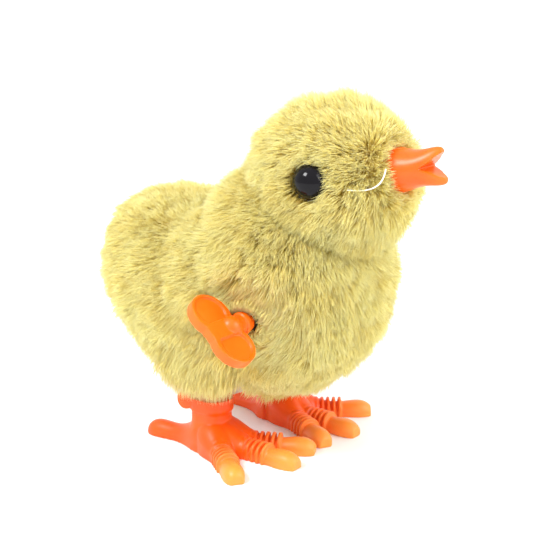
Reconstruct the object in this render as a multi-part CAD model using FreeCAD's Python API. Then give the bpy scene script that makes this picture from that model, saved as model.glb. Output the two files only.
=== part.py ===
"""Wind-up hopping chick: plush covers over a plastic body, a clockwork motor and a rocking pair of feet.

Millimetres. +X runs forward to the beak, +Y to the chick's left, +Z up, and the feet stand on z = 0.
Everything is modelled about the chick's own middle plane (y = 0) with the ankles at x = 0. When a piece is
written it moves by FRAME_SHIFT, which puts the origin on the ground under the middle of the toy's box.
"""

import FreeCAD
import Part
import math
import os

Vector = FreeCAD.Vector
Y_AXIS = Vector(0, 1, 0)
Z_AXIS = Vector(0, 0, 1)

# ---------------------------------------------------------------- hard shells and the plush on them
# The radii are those of the shells' outer faces: along the piece's own long axis, across, and up.
RUMP_CENTRE = Vector(-6.8, 0, 36.4)
RUMP_RADII = (29.7, 22.5, 15.9)
RUMP_PITCH = 32.0  # degrees that the rump's long axis rises to the rear
CHEST_CENTRE = Vector(14.7, 0, 43.0)
CHEST_RADII = (17.4, 22.1, 24.5)
HEAD_CENTRE = Vector(26.1, 0, 67.5)
HEAD_RADII = (15.0, 15.2, 14.1)

SHELL_WALL = 1.2
SEAT_GAP = 0.05  # where the head shell sits in the body shell
PILE = 6.0  # plush, from its backing to the tips of the pile
SOFT_GAP = 0.2  # between the plush and the hard shells inside it
PILE_TIPS = SOFT_GAP + PILE  # from a shell's outer face to the tips of the pile

# ---------------------------------------------------------------- face
EYE_AZIMUTH = 74.0  # degrees round from straight ahead
EYE_RISE = 6.0  # degrees above level
EYE_RADIUS = 4.0
EYE_SEAT = HEAD_RADII[1] + 1.0  # from the head's centre to the flat back of the eye
EYE_HOLE_GAP = 0.3
EYE_STEM_RADIUS = 1.2
EYE_BOSS_RADIUS = 3.4
EYE_BOSS_FACE = HEAD_RADII[1] - SHELL_WALL - 1.0  # from the head's centre to the inner face of the boss
WASHER_THICK = 0.8
EYE_WASHER_RADIUS = 2.8
STEM_PAST_WASHER = 0.8

BEAK_PITCH = 11.0
BEAK_ROOT = HEAD_RADII[0] + 0.4  # from the head's centre to where the beak starts
BEAK_LENGTH = 14.2
BEAK_REACH = BEAK_ROOT + BEAK_LENGTH
BEAK_HALF_WIDTH = 5.3
BEAK_HALF_HEIGHT = 4.9
# how the beak tapers: distance from its root, half width and half height
BEAK_TAPER = ((5.6, 4.8, 4.35), (10.1, 3.4, 3.75), (13.0, 1.9, 3.3), (BEAK_LENGTH, 0.9, 2.65))
BEAK_MOUTH = BEAK_ROOT + 8.9  # to the back of the open mouth
BEAK_GAPE_UP = 1.75  # height of the opening above and below the axis at the tips
BEAK_GAPE_DOWN = 1.55
BEAK_HOLE_GAP = 0.4
BEAK_STEM_RADIUS = 2.4
BEAK_BOSS_RADIUS = 4.6
BEAK_BOSS_FACE = HEAD_RADII[0] - SHELL_WALL - 1.4
BEAK_WASHER_RADIUS = 4.0

# ---------------------------------------------------------------- motor layout, all axes along Y
ARBOR_AT = (18.3, 37.3)
CRANK_AT = (5.0, 22.5)
LEG_PIVOT_AT = (-5.0, 12.2)
MODULE = 0.42
DRIVE_TEETH = 40
PINION_TEETH = 10
INTERMEDIATE_TEETH = 36
CRANK_TEETH = 30
ESCAPE_DIRECTION = 150.0  # degrees from +X towards +Z, seen from the crank
PALLET_DIRECTION = 100.0  # the same, from the escape wheel
PRESSURE_ANGLE = 25.0
ADDENDUM = 0.8  # in modules
DEDENDUM = 1.15
BACKLASH = 0.09

CASE_WALL = 1.1
CASE_HALF_WIDTH = 8.2
CASE_PLATE = 1.2
CASE_ROOM = 0.35  # between a wheel's teeth and the case wall
LOWER_POST_AT = (-5.6, 18.8)
FRONT_POST_AT = (17.4, 24.0)
UPPER_POST_TURN = 122.6  # bearing of the upper post from the intermediate wheel
UPPER_POST_ROOM = 3.3  # between the intermediate wheel's teeth and the upper post
CASE_POST_RADIUS = 1.8
CASE_SCREW_RADIUS = 0.7
CASE_SCREW_HEAD_RADIUS = 1.4
CASE_SCREW_HEAD = 0.9
CASE_SCREW_SHORT = 1.0  # the screw ends this far inside the far plate
CASE_POST_WALL = 1.0  # of the case's edge round a post
CASE_TOE_RADIUS = 3.0  # of the case's edge round the legs' axle
PIVOT_BOSS_WALL = 1.6
SCREW_RECESS = 0.5
CROSS_ARM = 0.65  # reach and half thickness of a cross recess's arms, as shares of the head's radius
CROSS_THIN = 0.18

SHAFT_PLAY = 0.05  # radial play of a shaft in its hole
ARBOR_RADIUS = 1.5
ARBOR_JOURNAL_RADIUS = 1.0
ARBOR_HUB_RADIUS = 2.2
ARBOR_SQUARE = 2.1
PIN_RADIUS = 0.6
CRANK_SHAFT_RADIUS = 1.0
LEG_AXLE_RADIUS = 1.0
HUB_RADIUS = 1.3
DRIVE_HUB_WALL = 1.35
DRIVE_HUB_HEIGHT = 1.0
CRANK_HUB_RADIUS = 1.6

# heights along Y of each layer inside the case
SPRING_LAYER = (-6.5, -2.7)
RATCHET_LAYER = (-2.2, -1.2)
DRIVE_LAYER = (-1.0, 0.2)
INTERMEDIATE_PINION_LAYER = (-1.4, 1.6)
INTERMEDIATE_WHEEL_LAYER = (1.6, 2.8)
CRANK_PINION_LAYER = (1.2, 3.3)
CRANK_WHEEL_LAYER = (-4.2, -3.0)
ESCAPE_PINION_LAYER = (-4.6, -2.6)
ESCAPE_WHEEL_LAYER = (4.2, 5.2)
SIDE_PLAY = 0.3  # between a wheel's hub and the case plate
PLATE_INNER = CASE_HALF_WIDTH - CASE_PLATE

RATCHET_TEETH = 10
RATCHET_TIP_RADIUS = 4.0
RATCHET_ROOT_RADIUS = 3.2
SAW_LEAN = 2.0  # degrees that the steep side of a saw tooth leans
CLICK_PIVOT_RADIUS = 6.1  # from the arbor to the click's pivot
CLICK_BEARING = 120.0
CLICK_REACH = 44.0  # degrees round the arbor from the click's pivot to its tip
CLICK_GAP = 0.08
CLICK_TIP_RADIUS = 0.35
CLICK_BOSS_RADIUS = 0.95
RATCHET_PHASE = CLICK_BEARING - 14.0
SPRING_THICK = 0.22
SPRING_COILS = 7
SPRING_OUTER_RADIUS = 8.1
SPRING_END_BEARING = -75.0
SPRING_POST_RADIUS = 0.5
SPRING_POST_LAG = 7.0  # degrees from the spring's end back to the post

ESCAPE_TEETH = 12
ESCAPE_TIP_RADIUS = 4.1
ESCAPE_ROOT_RADIUS = 3.0
PALLET_DISTANCE = 6.3
PALLET_GAP = 0.2
PALLET_SWING = 5.0  # degrees each way
PALLET_SWEEP_RADIUS = 5.7  # from the pivot to the arms' furthest point
PALLET_ARM_TURN = 52.0  # degrees from the middle of the anchor to each tip, seen from the escape wheel
PALLET_ARM_RADIUS = 0.9
PALLET_TIP_RADIUS = 0.5
PALLET_TAIL = 2.6
PALLET_TAIL_RADIUS = 1.0

# ---------------------------------------------------------------- winding key
KEY_PLATE_OUTER = -36.9
KEY_LOBE_RADIUS = 5.2
KEY_LOBE_SPACING = 8.4
KEY_THICK = 2.3
KEY_DISH_RADIUS = 4.0
KEY_DISH = 0.55  # depth of the dish in each face of a lobe
KEY_TILT = -41.5  # degrees of the bow's long axis, from +X towards +Z
KEY_BALL_AT = -28.4
KEY_DISH_SHIFT = 0.6  # the dishes lie this much nearer to the lobes' outer edges
KEY_WAIST = 3.7  # half width between the lobes
KEY_SPINE = (2.2, 4.4)  # half width and half length of the raised middle
KEY_COLLAR = (-25.4, -24.2)
KEY_BALL_RADIUS = 2.65
KEY_BOSS_RADIUS = 2.2
KEY_BOSS_INNER = -22.6
KEY_SOCKET_END = -27.6
KEY_SHELL_HOLE = 3.2
KEY_PLUSH_HOLE = 4.4
KEY_PRESSED_RADIUS = 9.8  # the pile lies flat in a round patch behind the key
KEY_PRESSED_TO = -26.2

# ---------------------------------------------------------------- cranks and legs
CRANK_THROW = 2.0
CRANK_DISC_RADIUS = 3.6
CRANK_DISC_GAP = 0.3
CRANK_DISC_THICK = 0.9
CRANK_DISC_INNER = CASE_HALF_WIDTH + CRANK_DISC_GAP
CRANK_DISC_OUTER = CRANK_DISC_INNER + CRANK_DISC_THICK
CRANK_PIN_RADIUS = 0.8
CRANK_PIN_END = CRANK_DISC_OUTER + 0.4  # the pin stops short of the lever's slot
PIN_TO_LEVER = 0.2
LEG_INNER = CRANK_PIN_END + PIN_TO_LEVER
LEVER_THICK = 2.0
LEVER_TIP_RADIUS = 4.3
SLOT_PLAY = 0.12
LEG_CENTRE = LEG_INNER + 3.5  # of each foot, from the middle plane
LEG_HUB_RADIUS = 2.3
LEG_HUB_OUTER = LEG_CENTRE + 4.5
LEG_HUB_END = 1.0  # closes the hub beyond the axle
LEG_BRIDGE = 3.0  # half length of the web from the ankle to the lever
ANKLE_LENGTH = 10.0
ANKLE_WIDTH = 8.4
ANKLE_TOP = 10.2
COLLAR_LENGTH = 11.0
COLLAR_WIDTH = 9.2
COLLAR_TOP = 13.2
COLLAR_BITE = 0.6  # how far the collar reaches down over the ankle
# the foot's middle, from the ground up: centre forward of the ankle, length, width, height
FOOT_SECTIONS = (
    (0.5, 13.5, 10.6, 0.0),
    (0.3, 12.5, 10.0, 3.2),
    (0.0, ANKLE_LENGTH, ANKLE_WIDTH, 7.0),
    (0.0, ANKLE_LENGTH, ANKLE_WIDTH, ANKLE_TOP),
)
END_ROUNDNESS = 0.75  # how round the ends of the ankle and the collar are
TOE_WIDTH = 5.6
TOE_HEIGHT = 4.4
TOE_ROOT_HEIGHT = 7.6
TOE_ROOT_WIDTH = 7.0
# name: angle outward from straight ahead, length from the ankle
FRONT_TOES = {"outer": (37.0, 24.2), "middle": (-2.0, 25.2), "inner": (-26.0, 25.6)}
HIND_TOE_LENGTH = 18.6
HIND_TOE_ANGLE = 5.0
HIND_TOE_ROOT_WIDTH = 11.5
HIND_TOE_ROOT_HEIGHT = 7.8
TOE_CROWN = 0.85  # height of a toe's round top as a share of its half width
# how a toe's end narrows: share of its length, back from there, narrower and lower than the middle
TOE_TAPER = ((0.8, 0.0, 0.5, 0.5), (1.0, 1.4, 1.0, 0.9), (1.0, 0.0, 2.4, 2.0))
TOE_RIBS = 9
RIB_PITCH = 1.5
RIB_HEIGHT = 0.35
RIB_THICK = 0.8
RIB_WIDER = 0.1
LAST_RIB = 0.66  # where the ribs stop and the smooth claw starts, as a share of the length
TOE_BEND = 0.42  # where the slope down from the ankle ends

# ---------------------------------------------------------------- body shell details
SHELL_SCREWS_AT = ((-22.0, 49.0), (-15.0, 29.5), (8.5, 57.0))
SHELL_POST_RADIUS = 3.3
SHELL_SCREW_RADIUS = 1.1
SHELL_SCREW_HEAD_RADIUS = 2.1
SHELL_SCREW_HEAD = 1.5
SHELL_SCREW_HEAD_AT = -7.5  # the face that the head bears on
SHELL_SCREW_END = 7.0
SHELL_SCREW_RECESS = 0.9
# the openings below for the legs: x range, half width, top
SHELL_OPENING = ((-11.5, 19.6), LEG_INNER + LEVER_THICK + 0.9, 24.0)
PLUSH_OPENING = ((-10.8, 14.0), LEG_HUB_OUTER + 1.4, 24.0)
ARBOR_PAD = (5.0, 3.3)  # outer and inner radius of the rings that hold the motor
PALLET_PAD = (3.2, 1.6)

# reaches that pass right through the chick
HALF_LENGTH = 60.0
HALF_WIDTH = 40.0
TOTAL_HEIGHT = 90.0
SHELL_REACH = 30.0
KEY_SIDE = (-HALF_WIDTH, -15.0)  # from outside the pile to inside the shell, on the key's side
FACE_HOLE_FROM = 10.0  # from the head's centre
FACE_HOLE_LENGTH = 16.0
BOSS_LENGTH = 6.0
STEM_BITE = 0.5  # how far a stem runs into what it carries


# ---------------------------------------------------------------- small helpers
def rod(at, radius, y_from, y_to):
    """A round bar along Y."""
    start = Vector(at[0], y_from, at[1])
    return Part.makeCylinder(radius, y_to - y_from, start, Y_AXIS)


def ring(at, outer, inner, y_from, y_to):
    return rod(at, outer, y_from, y_to).cut(rod(at, inner, y_from, y_to))


def bar(start, direction, radius, length):
    return Part.makeCylinder(radius, length, start, direction)


def block(x_range, y_range, z_range):
    size = [high - low for low, high in (x_range, y_range, z_range)]
    return Part.makeBox(*size, Vector(x_range[0], y_range[0], z_range[0]))


def extrude_y(points, y_from, y_to):
    """A flat outline of (x, z) points, made solid from y_from to y_to."""
    corners = [Vector(x, y_from, z) for x, z in points]
    face = Part.Face(Part.makePolygon(corners + corners[:1]))
    return face.extrude(Vector(0, y_to - y_from, 0))


def polar(centre, radius, degrees):
    angle = math.radians(degrees)
    return (centre[0] + radius * math.cos(angle), centre[1] + radius * math.sin(angle))


def bearing(start, end):
    """Degrees from +X towards +Z of the line from start to end."""
    return math.degrees(math.atan2(end[1] - start[1], end[0] - start[0]))


def distance(start, end):
    return math.hypot(end[0] - start[0], end[1] - start[1])


def third_corner(first, first_reach, second, second_reach):
    """The point at these two distances from two centres, on the left of the line from first to second."""
    span = distance(first, second)
    along = (first_reach**2 - second_reach**2 + span**2) / (2 * span)
    off = math.sqrt(first_reach**2 - along**2)
    foot = polar(first, along, bearing(first, second))
    return polar(foot, off, bearing(first, second) + 90)


def belt(circles, y_from, y_to):
    """A plate whose edge runs round the outside of (x, z, radius) circles, in turn, like a belt."""
    edges = []
    touches = []
    for here, after in zip(circles, circles[1:] + circles[:1], strict=True):
        span = distance(here, after)
        lean = math.degrees(math.acos((here[2] - after[2]) / span))
        angle = bearing(here, after) - lean
        touches.append((polar(here, here[2], angle), polar(after, after[2], angle), angle))
    for index, circle in enumerate(circles):
        arrive = touches[index - 1]
        leave = touches[index]
        turn = (leave[2] - arrive[2]) % 360
        middle = polar(circle, circle[2], arrive[2] + turn / 2)
        arc = [Vector(p[0], y_from, p[1]) for p in (arrive[1], middle, leave[0])]
        edges.append(Part.Arc(*arc).toShape())
        line = [Vector(p[0], y_from, p[1]) for p in (leave[0], leave[1])]
        edges.append(Part.LineSegment(*line).toShape())
    face = Part.Face(Part.Wire(edges))
    return face.extrude(Vector(0, y_to - y_from, 0))


def ellipsoid(centre, radii, pitch=0.0):
    """An ellipsoid whose front dips by pitch degrees. The poles of its surface lie across the chick."""
    ball = Part.makeSphere(1.0)
    ball.rotate(Vector(0, 0, 0), Vector(1, 0, 0), 90)
    stretch = FreeCAD.Matrix()
    stretch.scale(Vector(*radii))
    form = ball.transformGeometry(stretch)
    form.rotate(Vector(0, 0, 0), Y_AXIS, pitch)
    form.translate(centre)
    return form


def body_form(outset):
    """The body's form, outset from the outer face of its shell."""
    rump = ellipsoid(RUMP_CENTRE, [r + outset for r in RUMP_RADII], RUMP_PITCH)
    chest = ellipsoid(CHEST_CENTRE, [r + outset for r in CHEST_RADII])
    return rump.fuse(chest)


def head_form(outset):
    """The head's form, outset from the outer face of its shell."""
    return ellipsoid(HEAD_CENTRE, [r + outset for r in HEAD_RADII])


def mirrored(shape):
    return shape.mirror(Vector(0, 0, 0), Y_AXIS)


def opening_block(opening):
    x_range, half_width, top = opening
    return block(x_range, (-half_width, half_width), (-1, top))


# ---------------------------------------------------------------- gears
def gear(at, teeth, layer, phase, bore):
    """A spur gear with involute flanks. phase is the bearing of the middle of one tooth."""
    pitch_radius = MODULE * teeth / 2
    base_radius = pitch_radius * math.cos(math.radians(PRESSURE_ANGLE))
    root_radius = pitch_radius - DEDENDUM * MODULE
    start_radius = max(base_radius, root_radius)
    half_at_pitch = math.pi / (2 * teeth) - BACKLASH / (2 * pitch_radius)
    points = []
    for tooth in range(teeth):
        middle = phase + tooth * 360.0 / teeth
        flank = []
        for step in (0.0, 0.4, 0.75, 1.0):
            radius = start_radius + step * (tip_radius(teeth) - start_radius)
            narrow = roll(radius, base_radius) - roll(pitch_radius, base_radius)
            flank.append((radius, math.degrees(half_at_pitch - narrow)))
        points.append(polar(at, root_radius, middle - flank[0][1]))
        points += [polar(at, radius, middle - half) for radius, half in flank]
        points += [polar(at, radius, middle + half) for radius, half in reversed(flank)]
        points.append(polar(at, root_radius, middle + flank[0][1]))
    body = extrude_y(points, *layer)
    return body.cut(rod(at, bore, *layer))


def roll(radius, base_radius):
    """The involute function of the pressure angle at a radius."""
    slope = math.sqrt(max(0.0, (radius / base_radius) ** 2 - 1))
    return slope - math.atan(slope)


def mesh_phase(driver_at, driver_teeth, driver_phase, follower_at, follower_teeth):
    """The follower's phase that sets its gaps on the driver's teeth."""
    line = bearing(driver_at, follower_at)
    shift = driver_teeth * (driver_phase - line) / follower_teeth
    return line + 180 - shift - 180.0 / follower_teeth


def saw_wheel(at, teeth, tip_radius, root_radius, layer, phase, bore):
    points = []
    for tooth in range(teeth):
        angle = phase + tooth * 360.0 / teeth
        points.append(polar(at, tip_radius, angle))
        points.append(polar(at, root_radius, angle + SAW_LEAN))
    body = extrude_y(points, *layer)
    return body.cut(rod(at, bore, *layer))


def centre_distance(first_teeth, second_teeth):
    return MODULE * (first_teeth + second_teeth) / 2


def tip_radius(teeth):
    return MODULE * (teeth / 2 + ADDENDUM)


INTERMEDIATE_AT = third_corner(
    CRANK_AT,
    centre_distance(INTERMEDIATE_TEETH, PINION_TEETH),
    ARBOR_AT,
    centre_distance(DRIVE_TEETH, PINION_TEETH),
)
ESCAPE_AT = polar(CRANK_AT, centre_distance(CRANK_TEETH, PINION_TEETH), ESCAPE_DIRECTION)
PALLET_AT = polar(ESCAPE_AT, PALLET_DISTANCE, PALLET_DIRECTION)
DRIVE_PHASE = 0.0
INTERMEDIATE_PHASE = mesh_phase(ARBOR_AT, DRIVE_TEETH, DRIVE_PHASE, INTERMEDIATE_AT, PINION_TEETH)
CRANK_PHASE = mesh_phase(INTERMEDIATE_AT, INTERMEDIATE_TEETH, 0.0, CRANK_AT, PINION_TEETH)
ESCAPE_PHASE = mesh_phase(CRANK_AT, CRANK_TEETH, 0.0, ESCAPE_AT, PINION_TEETH)
UPPER_POST_AT = polar(
    INTERMEDIATE_AT,
    tip_radius(INTERMEDIATE_TEETH) + UPPER_POST_ROOM + CASE_POST_RADIUS,
    UPPER_POST_TURN,
)
CASE_SCREWS_AT = (LOWER_POST_AT, FRONT_POST_AT, UPPER_POST_AT)


def hub(at, radius, layer, bore):
    return ring(at, radius, bore, *layer)


def drive_gear():
    bore = ARBOR_RADIUS + SHAFT_PLAY
    wheel = gear(ARBOR_AT, DRIVE_TEETH, DRIVE_LAYER, DRIVE_PHASE, bore)
    hub_layer = (DRIVE_LAYER[1], DRIVE_LAYER[1] + DRIVE_HUB_HEIGHT)
    long_hub = hub(ARBOR_AT, ARBOR_RADIUS + DRIVE_HUB_WALL, hub_layer, bore)
    pivot_hole = rod(click_pivot(), PIN_RADIUS, *DRIVE_LAYER)
    return wheel.fuse(long_hub).cut(pivot_hole)


def intermediate_gear():
    bore = PIN_RADIUS + SHAFT_PLAY
    pinion = gear(
        INTERMEDIATE_AT, PINION_TEETH, INTERMEDIATE_PINION_LAYER, INTERMEDIATE_PHASE, bore
    )
    wheel = gear(INTERMEDIATE_AT, INTERMEDIATE_TEETH, INTERMEDIATE_WHEEL_LAYER, 0.0, bore)
    ends = PLATE_INNER - SIDE_PLAY
    lower = hub(INTERMEDIATE_AT, HUB_RADIUS, (-ends, INTERMEDIATE_PINION_LAYER[0]), bore)
    upper = hub(INTERMEDIATE_AT, HUB_RADIUS, (INTERMEDIATE_WHEEL_LAYER[1], ends), bore)
    return pinion.multiFuse([wheel, lower, upper])


def crank_gear():
    bore = CRANK_SHAFT_RADIUS
    pinion = gear(CRANK_AT, PINION_TEETH, CRANK_PINION_LAYER, CRANK_PHASE, bore)
    wheel = gear(CRANK_AT, CRANK_TEETH, CRANK_WHEEL_LAYER, 0.0, bore)
    ends = PLATE_INNER - SIDE_PLAY
    lower = hub(CRANK_AT, CRANK_HUB_RADIUS, (-ends, CRANK_WHEEL_LAYER[0]), bore)
    middle = hub(CRANK_AT, CRANK_HUB_RADIUS, (CRANK_WHEEL_LAYER[1], CRANK_PINION_LAYER[0]), bore)
    upper = hub(CRANK_AT, CRANK_HUB_RADIUS, (CRANK_PINION_LAYER[1], ends), bore)
    return pinion.multiFuse([wheel, lower, middle, upper])


def escape_gear():
    bore = PIN_RADIUS + SHAFT_PLAY
    pinion = gear(ESCAPE_AT, PINION_TEETH, ESCAPE_PINION_LAYER, ESCAPE_PHASE, bore)
    wheel = saw_wheel(
        ESCAPE_AT, ESCAPE_TEETH, ESCAPE_TIP_RADIUS, ESCAPE_ROOT_RADIUS, ESCAPE_WHEEL_LAYER, 0.0, bore
    )
    ends = PLATE_INNER - SIDE_PLAY
    lower = hub(ESCAPE_AT, HUB_RADIUS, (-ends, ESCAPE_PINION_LAYER[0]), bore)
    middle = hub(ESCAPE_AT, HUB_RADIUS, (ESCAPE_PINION_LAYER[1], ESCAPE_WHEEL_LAYER[0]), bore)
    upper = hub(ESCAPE_AT, HUB_RADIUS, (ESCAPE_WHEEL_LAYER[1], ends), bore)
    return pinion.multiFuse([wheel, lower, middle, upper])


def pallet():
    """The rattling anchor: two arms whose tips stand just outside the escape wheel's teeth."""
    bore = PIN_RADIUS + SHAFT_PLAY
    back = bearing(PALLET_AT, ESCAPE_AT)
    reach = ESCAPE_TIP_RADIUS + PALLET_GAP + PALLET_ARM_RADIUS
    boss = ring(PALLET_AT, HUB_RADIUS, bore, *ESCAPE_WHEEL_LAYER)
    anchor = boss
    for side in (-1, 1):
        tip = polar(ESCAPE_AT, reach, back + 180 + side * PALLET_ARM_TURN)
        ends = [(*PALLET_AT, PALLET_ARM_RADIUS), (*tip, PALLET_TIP_RADIUS)]
        anchor = anchor.fuse(belt(ends, *ESCAPE_WHEEL_LAYER))
    tail = polar(PALLET_AT, PALLET_TAIL, back + 180)
    ends = [(*PALLET_AT, PALLET_ARM_RADIUS), (*tail, PALLET_TAIL_RADIUS)]
    anchor = anchor.fuse(belt(ends, *ESCAPE_WHEEL_LAYER))
    for swing in (-PALLET_SWING, 0, PALLET_SWING):
        wheel_seen = polar(PALLET_AT, PALLET_DISTANCE, back + swing)
        anchor = anchor.cut(rod(wheel_seen, ESCAPE_TIP_RADIUS + PALLET_GAP, *ESCAPE_WHEEL_LAYER))
    return anchor.cut(rod(PALLET_AT, bore, *ESCAPE_WHEEL_LAYER))


def fixed_pin(at):
    """A steel pin held in blind holes in both case plates."""
    end = PLATE_INNER + CASE_PLATE / 2
    return rod(at, PIN_RADIUS, -end, end)


def crank_shaft():
    return rod(CRANK_AT, CRANK_SHAFT_RADIUS, -CRANK_DISC_OUTER, CRANK_DISC_OUTER)


def crank_disc():
    """The chick's left crank: a disc on the shaft's end with a pin that drives the leg's lever."""
    faces = (CRANK_DISC_INNER, CRANK_DISC_OUTER)
    disc = ring(CRANK_AT, CRANK_DISC_RADIUS, CRANK_SHAFT_RADIUS, *faces)
    pin_at = polar(CRANK_AT, CRANK_THROW, bearing(LEG_PIVOT_AT, CRANK_AT))
    pin = rod(pin_at, CRANK_PIN_RADIUS, CRANK_DISC_OUTER, CRANK_PIN_END)
    return disc.fuse(pin)


# ---------------------------------------------------------------- winding side
def click_pivot():
    return polar(ARBOR_AT, CLICK_PIVOT_RADIUS, CLICK_BEARING)


def winding_shaft():
    end = PLATE_INNER + CASE_PLATE / 2
    shoulder = DRIVE_LAYER[1] + DRIVE_HUB_HEIGHT + SIDE_PLAY
    journal = rod(ARBOR_AT, ARBOR_JOURNAL_RADIUS, shoulder, end)
    shaft = rod(ARBOR_AT, ARBOR_RADIUS, KEY_BOSS_INNER, shoulder)
    spring_hub = rod(ARBOR_AT, ARBOR_HUB_RADIUS, *SPRING_LAYER)
    half = ARBOR_SQUARE / 2
    x, z = ARBOR_AT
    square = block((x - half, x + half), (KEY_SOCKET_END, KEY_BOSS_INNER), (z - half, z + half))
    return shaft.multiFuse([journal, spring_hub, square])


def ratchet_wheel():
    return saw_wheel(
        ARBOR_AT,
        RATCHET_TEETH,
        RATCHET_TIP_RADIUS,
        RATCHET_ROOT_RADIUS,
        RATCHET_LAYER,
        RATCHET_PHASE,
        ARBOR_RADIUS,
    )


def click():
    """A springy pawl on the drive gear, resting on the ratchet wheel."""
    pivot = click_pivot()
    tip_reach = RATCHET_TIP_RADIUS + CLICK_GAP + CLICK_TIP_RADIUS
    tip = polar(ARBOR_AT, tip_reach, CLICK_BEARING - CLICK_REACH)
    arm = belt([(*pivot, CLICK_BOSS_RADIUS), (*tip, CLICK_TIP_RADIUS)], *RATCHET_LAYER)
    clear = rod(ARBOR_AT, RATCHET_TIP_RADIUS + CLICK_GAP, *RATCHET_LAYER)
    stud = rod(pivot, PIN_RADIUS, RATCHET_LAYER[1], DRIVE_LAYER[1])
    return arm.cut(clear).fuse(stud)


def mainspring():
    """A flat spiral ribbon from the arbor's hub to the post in the case."""
    start_radius = ARBOR_HUB_RADIUS + SPRING_THICK / 2
    end_radius = SPRING_OUTER_RADIUS
    steps = SPRING_COILS * 12
    inner = []
    outer = []
    for step in range(steps + 1):
        share = step / steps
        radius = start_radius + share * (end_radius - start_radius)
        angle = SPRING_END_BEARING - 360 * SPRING_COILS * (1 - share)
        for side, line in ((-1, inner), (1, outer)):
            x, z = polar(ARBOR_AT, radius + side * SPRING_THICK / 2, angle)
            line.append(Vector(x, SPRING_LAYER[0] + SIDE_PLAY, z))
    edges = [smooth_edge(inner)]
    edges.append(Part.LineSegment(inner[-1], outer[-1]).toShape())
    edges.append(smooth_edge(outer[::-1]))
    edges.append(Part.LineSegment(outer[0], inner[0]).toShape())
    face = Part.Face(Part.Wire(edges))
    height = SPRING_LAYER[1] - SPRING_LAYER[0] - 2 * SIDE_PLAY
    return face.extrude(Vector(0, height, 0))


def smooth_edge(points):
    curve = Part.BSplineCurve()
    curve.interpolate(points)
    return curve.toShape()


def winding_key():
    """The butterfly key: two dished lobes in a plate that holds the shaft's axis, and a ball-ended boss."""
    half_plate = KEY_THICK / 2
    middle = KEY_PLATE_OUTER + KEY_LOBE_RADIUS
    lobes = []
    dishes = []
    for side in (-1, 1):
        centre = Vector(side * KEY_LOBE_SPACING / 2, middle, 0)
        low = centre - Vector(0, 0, half_plate)
        lobes.append(Part.makeCylinder(KEY_LOBE_RADIUS, KEY_THICK, low, Z_AXIS))
        for face in (-1, 1):
            floor = centre + Vector(side * KEY_DISH_SHIFT, 0, face * (half_plate - KEY_DISH))
            dishes.append(Part.makeCylinder(KEY_DISH_RADIUS, KEY_THICK, floor, Vector(0, 0, face)))
    waist = block(
        (-KEY_LOBE_SPACING / 2, KEY_LOBE_SPACING / 2),
        (middle - KEY_WAIST, middle + KEY_WAIST),
        (-half_plate, half_plate),
    )
    bow = lobes[0].multiFuse([lobes[1], waist])
    for dish in dishes:
        bow = bow.cut(dish)
    across, along = KEY_SPINE
    spine_y = (middle - along, middle + along)
    bow = bow.fuse(block((-across, across), spine_y, (-half_plate, half_plate)))
    boss = rod((0, 0), KEY_BOSS_RADIUS, KEY_BALL_AT, KEY_BOSS_INNER)
    ball = Part.makeSphere(KEY_BALL_RADIUS, Vector(0, KEY_BALL_AT, 0))
    collar = rod((0, 0), KEY_BALL_RADIUS, *KEY_COLLAR)
    key = bow.multiFuse([boss, ball, collar])
    key.rotate(Vector(0, 0, 0), Y_AXIS, -KEY_TILT)
    key.translate(Vector(ARBOR_AT[0], 0, ARBOR_AT[1]))
    half = ARBOR_SQUARE / 2
    x, z = ARBOR_AT
    socket = block((x - half, x + half), (KEY_SOCKET_END, KEY_BOSS_INNER), (z - half, z + half))
    return key.cut(socket)


# ---------------------------------------------------------------- motor case
def case_circles(inset):
    """The case's outline: circles round the outermost wheels and posts, anticlockwise in (x, z).

    The escape wheel and the intermediate wheel lie inside the belt round the others.
    """
    drive = tip_radius(DRIVE_TEETH) + CASE_ROOM + CASE_WALL
    crank = tip_radius(CRANK_TEETH) + CASE_ROOM + CASE_WALL
    post = CASE_POST_RADIUS + CASE_POST_WALL
    circles = [
        (*LEG_PIVOT_AT, CASE_TOE_RADIUS),
        (*CRANK_AT, crank),
        (*FRONT_POST_AT, post),
        (*ARBOR_AT, drive),
        (*UPPER_POST_AT, post),
        (*PALLET_AT, PALLET_SWEEP_RADIUS + CASE_ROOM + CASE_WALL),
    ]
    return [(x, z, radius - inset) for x, z, radius in circles]


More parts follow.
